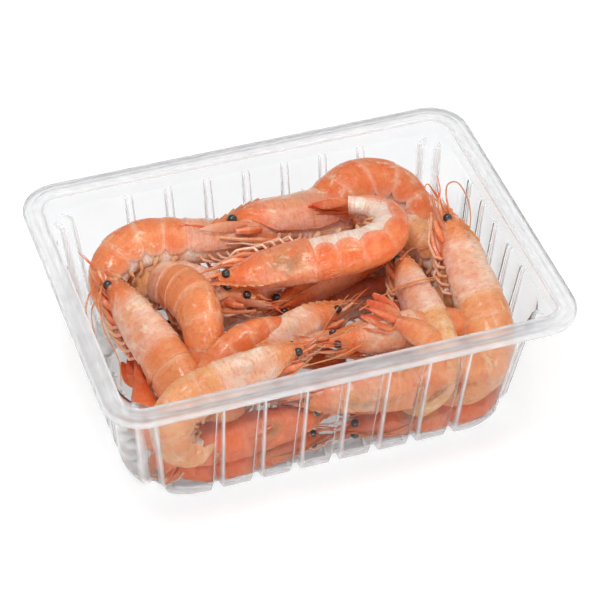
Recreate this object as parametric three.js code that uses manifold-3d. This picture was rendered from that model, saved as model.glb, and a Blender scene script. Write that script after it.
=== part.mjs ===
// Cooked whole prawns heaped in a clear ribbed tray.
// Millimetres, +Z up. The origin is on the floor under the middle of the tray.
// +X runs along a long side of the tray and +Y towards the other long side.
import * as THREE from 'three';
import { mergeVertices } from 'three/addons/utils/BufferGeometryUtils.js';
import Module from 'manifold-3d';

const wasm = await Module();
wasm.setup();

const DEGREE = Math.PI / 180;

const TRAY_COLOR = 0xe8ecee;
const TRAY_ROUGHNESS = 0.1;
const PRAWN_COLOR = 0xe8895a;
const PRAWN_ROUGHNESS = 0.35;

// Tray sizes
const LENGTH = 190;
const WIDTH = 144;
const HEIGHT = 68.5;
const FILM = 0.6;
const GAP = 0.3;
const FLANGE = 7.7;
const FLANGE_RADIUS = 16;
const SKIRT = 3;
const BAND = 8;
const STEP = 1.5;
const BODY_RADIUS = 24;
const FOOT_HALF_LENGTH = 76;
const FOOT_HALF_WIDTH = 48.5;
const FOOT_RADIUS = 22.5;
const FOOT_RING = 4.5;
const BASE_LIFT = 2.5;
const BEND_HEIGHT = 7;
const BEND_REACH = 5;
const BEND_MIDDLE = 0.6;
const BAND_DRAFT = 0.3;
const RIM_LENGTH = LENGTH / 2 - FLANGE;
const RIM_WIDTH = WIDTH / 2 - FLANGE;
const RIM_RADIUS = FLANGE_RADIUS - FLANGE;

// Upright flutes pressed into the walls, which end in notches between the feet
const LONG_FLUTES = 7;
const SHORT_FLUTES = 5;
const PITCH_TOP = { long: 16.7, short: 14 };
const PITCH_FOOT = { long: 16.2, short: 11.2 };
const FLUTE_TOP = { half: 1.8, depth: 1.1 };
const FLUTE_FOOT = { half: 2.7, depth: 2.2 };
const FLUTE_CREST = 0.42;
const NOTCH_HEIGHT = 3;
const CORNER_TURNS = [0, 18, 35, 42, 48, 55, 72, 90];
const CORNER_CREST = [3, 4];

// One level of the tray: a rounded rectangle with its flutes
const level = (halfLength, halfWidth, radius, z, flute = {}) => ({
  halfLength,
  halfWidth,
  radius,
  z,
  half: flute.half ?? FLUTE_TOP.half,
  depth: flute.depth ?? 0,
  notch: flute.notch ?? 0,
  pitch: flute.pitch ?? PITCH_TOP,
});

// Points along one straight side, as [along, inward, lift]
function sidePoints(count, pitch, { half, depth, notch }) {
  const points = [];
  for (let i = 0; i < count; i += 1) {
    const middle = (i - (count - 1) / 2) * pitch;
    points.push([middle - half, 0, 0]);
    points.push([middle - half * FLUTE_CREST, depth, notch]);
    points.push([middle + half * FLUTE_CREST, depth, notch]);
    points.push([middle + half, 0, 0]);
  }
  return points;
}

// Points of one corner, as [x, y, lift] from the centre of its arc
function cornerPoints(radius, { depth, notch }) {
  return CORNER_TURNS.map((turn, i) => {
    const crest = CORNER_CREST.includes(i);
    const reach = radius - (crest ? depth : 0);
    return [reach * Math.cos(turn * DEGREE), reach * Math.sin(turn * DEGREE), crest ? notch : 0];
  });
}

// The closed ring of one level, counter-clockwise from above
function ring(lv) {
  const points = [];
  const straightX = lv.halfLength - lv.radius;
  const straightY = lv.halfWidth - lv.radius;
  for (let quarter = 0; quarter < 4; quarter += 1) {
    const turned = quarter % 2 === 1;
    const count = turned ? LONG_FLUTES : SHORT_FLUTES;
    const reach = turned ? lv.halfWidth : lv.halfLength;
    const centre = turned ? [straightY, straightX] : [straightX, straightY];
    const pitch = turned ? lv.pitch.long : lv.pitch.short;
    const local = sidePoints(count, pitch, lv)
      .map(([along, inward, lift]) => [reach - inward, along, lift]);
    for (const [x, y, lift] of cornerPoints(lv.radius, lv)) {
      local.push([centre[0] + x, centre[1] + y, lift]);
    }
    const cos = [1, 0, -1, 0][quarter];
    const sin = [0, 1, 0, -1][quarter];
    for (const [x, y, lift] of local) {
      points.push([x * cos - y * sin, x * sin + y * cos, lv.z + lift]);
    }
  }
  return points;
}

// A closed body through rings of the same number of points, shut by a point or a flat fan at each end
function loft(rings, startPoint, endPoint) {
  const count = rings[0].length;
  const positions = [...rings.flat(), startPoint, endPoint].flat();
  const start = rings.length * count;
  const end = start + 1;
  const index = [];
  for (let i = 0; i < count; i += 1) {
    const next = (i + 1) % count;
    for (let r = 0; r + 1 < rings.length; r += 1) {
      const a = r * count + i;
      const b = r * count + next;
      index.push(a, b, b + count, a, b + count, a + count);
    }
    const last = (rings.length - 1) * count;
    index.push(start, next, i);
    index.push(end, last + i, last + next);
  }
  const geometry = new THREE.BufferGeometry();
  geometry.setAttribute('position', new THREE.Float32BufferAttribute(positions, 3));
  geometry.setIndex(index);
  return geometry;
}

// The levels of one skin of the tray, moved inwards and upwards from its outer face
function skin(inset, lift) {
  const midReach = BEND_REACH * BEND_MIDDLE;
  const foot = { ...FLUTE_FOOT, pitch: PITCH_FOOT, notch: NOTCH_HEIGHT };
  const wallFoot = { ...FLUTE_FOOT, pitch: PITCH_FOOT };
  const notchTop = { ...FLUTE_FOOT, pitch: PITCH_FOOT, notch: NOTCH_HEIGHT * BEND_MIDDLE };
  return {
    panel: level(
      FOOT_HALF_LENGTH - FOOT_RING - BASE_LIFT - inset,
      FOOT_HALF_WIDTH - FOOT_RING - BASE_LIFT - inset,
      FOOT_RADIUS - FOOT_RING - BASE_LIFT,
      BASE_LIFT + lift,
      { pitch: PITCH_FOOT },
    ),
    ringInner: level(
      FOOT_HALF_LENGTH - FOOT_RING,
      FOOT_HALF_WIDTH - FOOT_RING,
      FOOT_RADIUS - FOOT_RING,
      lift,
      foot,
    ),
    ringOuter: level(
      FOOT_HALF_LENGTH - inset / 2,
      FOOT_HALF_WIDTH - inset / 2,
      FOOT_RADIUS,
      lift,
      foot,
    ),
    bendMiddle: level(
      FOOT_HALF_LENGTH + midReach - inset,
      FOOT_HALF_WIDTH + midReach - inset,
      FOOT_RADIUS + midReach * BEND_MIDDLE - inset,
      BEND_HEIGHT * BEND_MIDDLE * BEND_MIDDLE + lift / 2,
      notchTop,
    ),
    bendTop: level(
      FOOT_HALF_LENGTH + BEND_REACH - inset,
      FOOT_HALF_WIDTH + BEND_REACH - inset,
      FOOT_RADIUS + BEND_REACH * BEND_MIDDLE - inset,
      BEND_HEIGHT,
      wallFoot,
    ),
    wallTop: level(
      RIM_LENGTH - STEP - inset,
      RIM_WIDTH - STEP - inset,
      BODY_RADIUS - inset,
      HEIGHT - BAND + lift,
      FLUTE_TOP,
    ),
    bandFoot: level(
      RIM_LENGTH - BAND_DRAFT - inset,
      RIM_WIDTH - BAND_DRAFT - inset,
      RIM_RADIUS,
      HEIGHT - BAND + lift,
    ),
  };
}

function trayGeometry() {
  const outer = skin(0, 0);
  const inner = skin(FILM, FILM);
  const under = HEIGHT - FILM;
  const skirtFoot = HEIGHT - SKIRT;
  const levels = [
    outer.panel,
    outer.ringInner,
    outer.ringOuter,
    outer.bendMiddle,
    outer.bendTop,
    outer.wallTop,
    outer.bandFoot,
    level(RIM_LENGTH, RIM_WIDTH, RIM_RADIUS, under),
    level(LENGTH / 2 - FILM, WIDTH / 2 - FILM, FLANGE_RADIUS - FILM, under),
    level(LENGTH / 2 - FILM, WIDTH / 2 - FILM, FLANGE_RADIUS - FILM, skirtFoot),
    level(LENGTH / 2, WIDTH / 2, FLANGE_RADIUS, skirtFoot),
    level(LENGTH / 2, WIDTH / 2, FLANGE_RADIUS, HEIGHT),
    level(RIM_LENGTH - FILM, RIM_WIDTH - FILM, RIM_RADIUS, HEIGHT),
    inner.bandFoot,
    inner.wallTop,
    inner.bendTop,
    inner.bendMiddle,
    inner.ringOuter,
    inner.panel,
  ];
  return loft(levels.map(ring), [0, 0, outer.panel.z], [0, 0, inner.panel.z]);
}

// The space inside the tray that the prawns may fill
function insideGeometry() {
  const inner = skin(FILM + GAP, FILM + GAP);
  const levels = [
    inner.panel,
    inner.ringOuter,
    inner.bendMiddle,
    inner.bendTop,
    inner.wallTop,
    { ...inner.wallTop, z: 2 * HEIGHT },
  ];
  return loft(levels.map(ring), [0, 0, inner.panel.z], [0, 0, 2 * HEIGHT]);
}

// Prawn shape along its length, from the tip of the rostrum to the end of the tail fan.
// Each row is [along, half height, half width] as shares of the length.
const EYE = 0.07;
const NECK = 0.33;
const BEND_START = 0.4;
const BEND_END = 0.83;
const SIDES = 8;
const SECTIONS = [
  [0.06, 0.018, 0.015],
  [0.1, 0.041, 0.034],
  [0.18, 0.066, 0.055],
  [0.29, 0.08, 0.065],
  [0.41, 0.086, 0.067],
  [0.5, 0.086, 0.066],
  [0.59, 0.08, 0.062],
  [0.68, 0.068, 0.053],
  [0.77, 0.051, 0.042],
  [0.85, 0.032, 0.03],
  [0.9, 0.016, 0.04],
  [0.98, 0.007, 0.055],
];
const FAN_START = 0.87;
const ROSTRUM_LIFT = 0.01;
const HUMP_REACH = 0.07;
const CENTRELINE_STEPS = 60;

// The centreline lies in the prawn's own upright plane, with the neck at zero and the head along +X.
// Behind the neck the abdomen may first rise in a hump, then it bends down, most in its middle.
function bendAt(along, { curl, hump, delay }) {
  const rise = THREE.MathUtils.clamp((along - NECK) / HUMP_REACH, 0, 1);
  const share = THREE.MathUtils.clamp((along - delay - BEND_START) / (BEND_END - BEND_START), 0, 1);
  return DEGREE * ((curl + hump) * share * share * (3 - 2 * share) - hump * rise);
}

function centreline(along, item) {
  const { length } = item;
  if (along <= NECK) {
    const lift = ROSTRUM_LIFT * length * Math.max(0, 1 - along / EYE);
    return { x: (NECK - along) * length, z: lift, bend: 0 };
  }
  const step = (along - NECK) / CENTRELINE_STEPS;
  let x = 0;
  let z = 0;
  for (let i = 0; i < CENTRELINE_STEPS; i += 1) {
    const bend = bendAt(NECK + (i + 0.5) * step, item);
    x -= Math.cos(bend) * step * length;
    z -= Math.sin(bend) * step * length;
  }
  return { x, z, bend: bendAt(along, item) };
}

function prawnGeometry(prawn, grow) {
  const rings = SECTIONS.map(([along, high, wide]) => {
    const middle = centreline(along, prawn);
    const spread = along > FAN_START ? prawn.fan : 1;
    const halfHeight = high * prawn.length + grow;
    const halfWidth = wide * prawn.length * spread + grow;
    return Array.from({ length: SIDES }, (_, i) => {
      const turn = (2 * Math.PI * (i + 0.5)) / SIDES;
      const up = halfHeight * Math.cos(turn);
      return [
        middle.x - Math.sin(middle.bend) * up,
        halfWidth * Math.sin(turn),
        middle.z + Math.cos(middle.bend) * up,
      ];
    });
  });
  const tip = centreline(0, prawn);
  const end = centreline(1, prawn);
  return loft(rings, [tip.x + grow, 0, tip.z], [end.x, 0, end.z]);
}

// The heap. Each row is the place of the neck, the heading of the head, how far the head points up,
// the roll about the body, the length, the curl and hump of the abdomen, the spread of the tail fan
// and how much further back the curl begins.
const prawn = (name, at, heading, pitch, roll, length, curl, hump, fan, delay = 0) => ({
  name,
  at,
  heading,
  pitch,
  roll,
  length,
  curl,
  hump,
  fan,
  delay,
});
const PRAWNS = [
  prawn('prawn_01', [-30, 38, 51], -9, -3, -60, 122, 110, 5, 0.7),
  prawn('prawn_02', [22, 39, 49], 183, 11, 62, 150, 112, 38, 0.7),
  prawn('prawn_03', [5, 5, 59], 176, -4, -88, 124, 168, 0, 0.3, 0.08),
  prawn('prawn_04', [-60, -7, 43], 105, 14, 22, 128, 160, 0, 0.6),
  prawn('prawn_05', [-44, 22, 44], 100, -25, 20, 128, 120, 0, 0.7),
  prawn('prawn_06', [-38, 22, 43], -47, 12, -45, 118, 175, 0, 0.7),
  prawn('prawn_07', [-52, -36, 27], 205, -30, 15, 112, 47, 28, 0.4),
  prawn('prawn_08', [-41, -42, 50], 8, 8, -15, 116, 180, 0, 0.7),
  prawn('prawn_09', [-16, -22, 44], 19, 2, -30, 120, 160, 0, 0.7),
  prawn('prawn_10', [46, -25, 45], 90, 10, 30, 112, 145, 0, 0.7),
  prawn('prawn_11', [22, 12, 43], 203, 0, -40, 122, 160, 0, 0.7),
  prawn('prawn_12', [35, -30, 43], 180, 8, -10, 114, 160, 0, 0.7),
  prawn('prawn_13', [72, -21, 32], 82, 0, 105, 116, 155, 0, 0.6),
  prawn('prawn_14', [69, -20, 46], 90, 22, 58, 130, 145, 0, 0.7),
  prawn('prawn_15', [54, 24, 44], 130, 0, 60, 114, 130, 0, 0.7),
  prawn('prawn_16', [-34, -46, 24], 2, 0, 100, 112, 100, 0, 0.5),
  prawn('prawn_17', [15, -49, 35], 170, -3, -132, 102, 148, 12, 0.7),
  prawn('prawn_18', [-34, -44, 11], 0, 0, 88, 108, 150, 0, 0.7),
  prawn('prawn_19', [40, -44, 11], 180, 0, -88, 116, 150, 0, 0.7),
  prawn('prawn_20', [68, 8, 12], 92, 0, 88, 112, 150, 0, 0.7),
  prawn('prawn_21', [24, 9, 28], 4, 0, -88, 112, 150, 0, 0.7),
  prawn('prawn_22', [-18, 23, 25], 190, 0, 80, 116, 160, 0, 0.7),
  prawn('prawn_23', [36, 32, 22], 183, 0, 80, 112, 150, 0, 0.7),
  prawn('prawn_24', [30, -43, 24], 180, 0, -88, 100, 120, 0, 0.7),
];

function poseOf(item) {
  return new THREE.Euler(item.roll * DEGREE, -item.pitch * DEGREE, item.heading * DEGREE, 'ZYX');
}

const group = new THREE.Group();

function addMesh(name, geometry, color, roughness) {
  const material = new THREE.MeshStandardMaterial({ color, roughness, metalness: 0 });
  const mesh = new THREE.Mesh(geometry, material);
  mesh.name = name;
  group.add(mesh);
  return mesh;
}

function solidOf(geometry) {
  const merged = mergeVertices(geometry);
  return new wasm.Manifold(new wasm.Mesh({
    numProp: 3,
    vertProperties: merged.attributes.position.array,
    triVerts: Uint32Array.from(merged.index.array),
  }));
}

function geometryOf(solid) {
  const { vertProperties, triVerts } = solid.getMesh();
  const geometry = new THREE.BufferGeometry();
  geometry.setAttribute('position', new THREE.Float32BufferAttribute(vertProperties, 3));
  geometry.setIndex(new THREE.Uint32BufferAttribute(triVerts, 1));
  return geometry;
}

// The largest piece that is left of a prawn inside the tray and clear of the prawns cut before it
function clearedPrawn(item, matrix, before) {
  const whole = solidOf(prawnGeometry(item, 0).applyMatrix4(matrix));
  let rest = whole.intersect(inside);
  for (const other of before) {
    rest = rest.subtract(other);
  }
  const pieces = rest.decompose().sort((a, b) => b.volume() - a.volume());
  return geometryOf(pieces[0]).applyMatrix4(matrix.clone().invert());
}

addMesh('tray', trayGeometry(), TRAY_COLOR, TRAY_ROUGHNESS);
const inside = solidOf(insideGeometry());
const swollen = [];
for (const item of PRAWNS) {
  const matrix = new THREE.Matrix4().makeRotationFromEuler(poseOf(item)).setPosition(...item.at);
  const geometry = clearedPrawn(item, matrix, swollen);
  const mesh = addMesh(item.name, geometry, PRAWN_COLOR, PRAWN_ROUGHNESS);
  mesh.position.set(...item.at);
  mesh.rotation.copy(poseOf(item));
  swollen.push(solidOf(prawnGeometry(item, GAP).applyMatrix4(matrix)));
}

export default group;
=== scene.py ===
# Cooked whole prawns heaped in a clear ribbed tray.
# Lengths are in millimetres, in the frame of the CAD model, with the origin on the floor under the middle of
# the tray. Inside a prawn they are shares of its length, in the studio and the materials they are metres.
import math
from collections import namedtuple

import bpy
import numpy as np
from mathutils import Matrix, Vector


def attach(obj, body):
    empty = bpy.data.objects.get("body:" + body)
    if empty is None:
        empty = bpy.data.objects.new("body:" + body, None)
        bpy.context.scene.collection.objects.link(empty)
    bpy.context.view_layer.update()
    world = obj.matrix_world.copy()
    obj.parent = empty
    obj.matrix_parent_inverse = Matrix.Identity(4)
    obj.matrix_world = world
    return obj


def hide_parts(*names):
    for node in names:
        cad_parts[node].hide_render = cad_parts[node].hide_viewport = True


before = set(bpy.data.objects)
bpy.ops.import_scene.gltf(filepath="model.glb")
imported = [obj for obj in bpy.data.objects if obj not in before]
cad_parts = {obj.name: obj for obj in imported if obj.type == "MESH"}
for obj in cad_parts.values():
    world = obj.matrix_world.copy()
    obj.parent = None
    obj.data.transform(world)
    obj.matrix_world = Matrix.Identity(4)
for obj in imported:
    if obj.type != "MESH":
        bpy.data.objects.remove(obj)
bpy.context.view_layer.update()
scene = bpy.context.scene
MM = 0.001


def smooth(start, end, x):
    share = np.clip((x - start) / (end - start), 0, 1)
    return share * share * (3 - 2 * share)


def bump(x, middle, reach):
    return np.exp(-(((x - middle) / reach) ** 2))


def linear(red, green, blue):
    """A colour given as 0 to 255 screen values, as linear light"""
    screen = np.array([red, green, blue]) / 255
    return np.where(screen <= 0.04045, screen / 12.92, ((screen + 0.055) / 1.055) ** 2.4)


def mix(first, second, share):
    share = np.asarray(share, dtype=float)[..., None]
    return first * (1 - share) + second * share


# Camera at the photograph's angle
TARGET = np.array([7.31, 13.65, 30.0])
AZIMUTH, ELEVATION, ROLL = np.radians([-19.47, 42.46, 0.9])
DISTANCE = 1050.74
LENS, SENSOR = 155.0, 36


def add_camera():
    back = np.array([
        math.sin(AZIMUTH) * math.cos(ELEVATION),
        -math.cos(AZIMUTH) * math.cos(ELEVATION),
        math.sin(ELEVATION),
    ])
    right = np.array([math.cos(AZIMUTH), math.sin(AZIMUTH), 0])
    up = np.cross(back, right)
    axis_x = math.cos(ROLL) * right + math.sin(ROLL) * up
    axis_y = -math.sin(ROLL) * right + math.cos(ROLL) * up
    data = bpy.data.cameras.new("camera")
    data.lens = LENS
    data.sensor_width = SENSOR
    camera = bpy.data.objects.new("camera", data)
    camera.matrix_world = Matrix.Translation(Vector((TARGET + back * DISTANCE) * MM)) @ Matrix(
        [[axis_x[i], axis_y[i], back[i]] for i in range(3)]
    ).to_4x4()
    scene.collection.objects.link(camera)
    scene.camera = camera


add_camera()

# Tray sizes
LENGTH, WIDTH, HEIGHT = 190, 144, 68.5
FILM, GAP = 0.6, 0.3
FLANGE, FLANGE_RADIUS, SKIRT = 7.7, 16, 3
BAND, STEP, BODY_RADIUS = 8, 1.5, 24
FOOT_HALF_LENGTH, FOOT_HALF_WIDTH, FOOT_RADIUS, FOOT_RING = 76, 48.5, 22.5, 4.5
BASE_LIFT, BEND_HEIGHT, BEND_REACH, BEND_MIDDLE, BAND_DRAFT, PANEL_EDGE = 2.5, 7, 5, 0.6, 0.3, 4
RIM_LENGTH, RIM_WIDTH, RIM_RADIUS = LENGTH / 2 - FLANGE, WIDTH / 2 - FLANGE, FLANGE_RADIUS - FLANGE
LONG_FLUTES, SHORT_FLUTES = 7, 5
PITCH_TOP, PITCH_FOOT = (16.7, 14), (16.2, 11.2)
FLUTE_TOP, FLUTE_FOOT = (1.8, 1.1), (2.7, 2.2)
FLUTE_CREST, NOTCH_HEIGHT, SHORT_DEPTH = 0.42, 3, 0.5
LEDGE_RISE, LEDGE_RADIUS = 0.5, BODY_RADIUS * 0.7
CORNER_CREST_TURN = 13
# How white the film looks where it is stretched or folded
WALL_HAZE, FLANK_HAZE, BAND_HAZE, FLANGE_HAZE, SKIRT_HAZE = 0.0, 0.75, 0.03, 0.13, 0.5
FOLD, FOLD_HAZE, FOOT_HAZE, BEND_HAZE, WALL_FOOT = 1.5, 0.8, 0.6, 0.3, 0.05
# The flange's small step, whose outer part lies lower
STEP_START, STEP_END, DROP, STEP_HAZE = 3.3, 4.0, 0.6, 0.3
FLUTE_POINTS = np.linspace(-1, 1, 9)
CORNER_POINTS = np.linspace(0, 90, 27)
ROUNDING, ROUNDING_SHARE = 0.9, 0.4
# Places of the values in a level's row
HALF_LENGTH, HALF_WIDTH, RADIUS, Z, FLUTE_HALF, FLUTE_DEPTH = range(6)
NOTCH, PITCH_LONG, PITCH_SHORT, HAZE = range(6, 10)


def level(
    half_length, half_width, radius, z, flute=(FLUTE_TOP[0], 0), pitch=PITCH_TOP, notch=0, haze=WALL_HAZE,
):
    """One level of the tray, as a row of numbers so that levels can be blended"""
    return np.array([half_length, half_width, radius, z, *flute, notch, *pitch, haze], dtype=float)


def crest(away):
    """Height of a flute's profile, as a share, at a distance from its middle in half widths"""
    return smooth(1, FLUTE_CREST, np.abs(away))


def steepness(rise):
    """From 0 where the flute's profile is level to 1 halfway up its flank"""
    return 4 * rise * (1 - rise)


def ring(row):
    """The closed ring of one level, counter-clockwise from above, as x, y, z and the haze of each point"""
    half_length, half_width, radius, z, half, depth, notch, pitch_long, pitch_short, haze = row
    flank = FLANK_HAZE * min(1, depth / FLUTE_TOP[1])
    straight = np.array([half_length - radius, half_width - radius])
    rise = crest((CORNER_POINTS - 45) / CORNER_CREST_TURN)
    corner_reach = radius - depth * rise
    turn = np.radians(CORNER_POINTS)
    corner = np.stack([
        corner_reach * np.cos(turn), corner_reach * np.sin(turn), notch * rise, flank * steepness(rise),
    ], axis=1)
    points = []
    for quarter in range(4):
        turned = quarter % 2
        count, pitch = (LONG_FLUTES, pitch_long) if turned else (SHORT_FLUTES, pitch_short)
        reach = half_width if turned else half_length
        middles = (np.arange(count) - (count - 1) / 2) * pitch
        along = (middles[:, None] + FLUTE_POINTS * half).ravel()
        rise = np.tile(crest(FLUTE_POINTS), count)
        side_depth = depth if turned else depth * SHORT_DEPTH
        side = np.stack([reach - side_depth * rise, along, notch * rise, flank * steepness(rise)], axis=1)
        centre = straight[::-1] if turned else straight
        local = np.concatenate([side, corner + [centre[0], centre[1], 0, 0]])
        cos, sin = [(1, 0), (0, 1), (-1, 0), (0, -1)][quarter]
        points.append(np.stack([
            local[:, 0] * cos - local[:, 1] * sin,
            local[:, 0] * sin + local[:, 1] * cos,
            local[:, 2] + z,
            local[:, 3] + haze,
        ], axis=1))
    return np.concatenate(points)


def skin(inset, lift):
    """The levels of one skin of the tray, moved inwards and upwards from its outer face"""
    middle = BEND_REACH * BEND_MIDDLE
    panel = FOOT_RING + BASE_LIFT
    flat = panel + PANEL_EDGE
    levels = {
        "panel_middle": level(
            FOOT_HALF_LENGTH - flat - inset, FOOT_HALF_WIDTH - flat - inset, FOOT_RADIUS - flat,
            BASE_LIFT + lift, pitch=PITCH_FOOT,
        ),
        "panel": level(
            FOOT_HALF_LENGTH - panel - inset, FOOT_HALF_WIDTH - panel - inset, FOOT_RADIUS - panel,
            BASE_LIFT + lift, pitch=PITCH_FOOT,
        ),
        "ring_inner": level(
            FOOT_HALF_LENGTH - FOOT_RING, FOOT_HALF_WIDTH - FOOT_RING, FOOT_RADIUS - FOOT_RING,
            lift, FLUTE_FOOT, PITCH_FOOT, NOTCH_HEIGHT, FOOT_HAZE,
        ),
        "ring_outer": level(
            FOOT_HALF_LENGTH - inset / 2, FOOT_HALF_WIDTH - inset / 2, FOOT_RADIUS,
            lift, FLUTE_FOOT, PITCH_FOOT, NOTCH_HEIGHT, FOOT_HAZE,
        ),
        "bend_middle": level(
            FOOT_HALF_LENGTH + middle - inset, FOOT_HALF_WIDTH + middle - inset,
            FOOT_RADIUS + middle * BEND_MIDDLE - inset, BEND_HEIGHT * BEND_MIDDLE**2 + lift / 2,
            FLUTE_FOOT, PITCH_FOOT, NOTCH_HEIGHT * BEND_MIDDLE, FOOT_HAZE,
        ),
        "bend_top": level(
            FOOT_HALF_LENGTH + BEND_REACH - inset, FOOT_HALF_WIDTH + BEND_REACH - inset,
            FOOT_RADIUS + BEND_REACH * BEND_MIDDLE - inset, BEND_HEIGHT, FLUTE_FOOT, PITCH_FOOT,
        ),
        "wall_top": level(
            RIM_LENGTH - STEP - inset, RIM_WIDTH - STEP - inset, BODY_RADIUS - inset,
            HEIGHT - BAND + lift, FLUTE_TOP,
        ),
        "ledge": level(
            RIM_LENGTH - STEP / 2 - inset, RIM_WIDTH - STEP / 2 - inset, LEDGE_RADIUS - inset,
            HEIGHT - BAND + lift + LEDGE_RISE,
        ),
        "band_foot": level(
            RIM_LENGTH - BAND_DRAFT - inset, RIM_WIDTH - BAND_DRAFT - inset, RIM_RADIUS,
            HEIGHT - BAND + lift, haze=BAND_HAZE,
        ),
    }
    levels["wall_foot"] = levels["bend_top"] + (levels["wall_top"] - levels["bend_top"]) * WALL_FOOT
    levels["bend_top"][HAZE] = BEND_HAZE
    return levels


def rounded(rows):
    """The same levels with each inner one replaced by a small arc"""
    result = [rows[0]]
    for before, row, after in zip(rows, rows[1:], rows[2:]):
        ends = []
        for other in (before, after):
            gap = math.hypot(other[HALF_LENGTH] - row[HALF_LENGTH], other[Z] - row[Z])
            ends.append(row + (other - row) * min(ROUNDING_SHARE, ROUNDING / max(gap, 0.01)))
        result += [ends[0], (ends[0] + 2 * row + ends[1]) / 4, ends[1]]
    return result + [rows[-1]]


def loft_faces(rings, count):
    """Faces of a closed body through rings of points, with one more point at each end"""
    start, end = rings * count, rings * count + 1
    here = np.arange(count)
    after = (here + 1) % count
    quads = []
    for r in range(rings - 1):
        a, b = r * count, (r + 1) * count
        quads.append(np.stack([a + here, a + after, b + after, b + here], axis=1))
    last = (rings - 1) * count
    caps = [(start, j, i) for i, j in zip(here, after)]
    caps += [(end, last + i, last + j) for i, j in zip(here, after)]
    return np.concatenate(quads).tolist(), caps


def mesh_object(name, points, faces, materials, slots=None, shades=None, flows=None, sharp=45, bloom_and_painted_shade=1.0):
    """A mesh object made from points in metres"""
    mesh = bpy.data.meshes.new(name)
    mesh.from_pydata(np.asarray(points).tolist(), [], faces)
    for material in materials:
        mesh.materials.append(material)
    if slots is not None:
        mesh.polygons.foreach_set("material_index", np.asarray(slots, dtype=np.int32))
    if shades is not None:
        layer = mesh.color_attributes.new("shade", "FLOAT_COLOR", "POINT")
        # The alpha carries the pale bloom, lowered as painted shade on prawns deep in the heap
        rgba = np.concatenate([shades, np.full((len(shades), 1), bloom_and_painted_shade)], axis=1)
        layer.data.foreach_set("color", rgba.astype(np.float32).ravel())
    if flows is not None:
        layer = mesh.attributes.new("flow", "FLOAT_VECTOR", "POINT")
        layer.data.foreach_set("vector", flows.astype(np.float32).ravel())
    mesh.shade_smooth()
    mesh.set_sharp_from_angle(angle=math.radians(sharp))
    mesh.validate()
    mesh.update()
    piece = bpy.data.objects.new(name, mesh)
    scene.collection.objects.link(piece)
    return piece


# Prawn shape along its length, as shares of the length, from the tip of the rostrum to the tail's end.
# Each row is [along, half height, half width].
EYE, NECK, BEND_START, BEND_END, HUMP_REACH, ROSTRUM_LIFT = 0.07, 0.33, 0.4, 0.83, 0.07, 0.01
SECTIONS = np.array([
    [0, 0.003, 0.002], [0.06, 0.018, 0.015], [0.1, 0.041, 0.034], [0.18, 0.066, 0.055],
    [0.29, 0.08, 0.065], [0.41, 0.086, 0.067], [0.5, 0.086, 0.066], [0.59, 0.08, 0.062],
    [0.68, 0.068, 0.053], [0.77, 0.051, 0.042], [0.85, 0.032, 0.03], [0.9, 0.016, 0.04],
    [0.98, 0.007, 0.055],
])
PLATE_ENDS = np.array([0.362, 0.432, 0.512, 0.592, 0.665, 0.737, 0.858])
BODY_START, BODY_END = 0.052, 0.868
SECTION_BLUR, SPINE_END, SPINE_STEPS = 0.018, 1.2, 700
USUAL_FAN = 0.7
# How far from a joint its round part reaches, as a share of the run beside it
JOINT_REACH = 0.14
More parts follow.
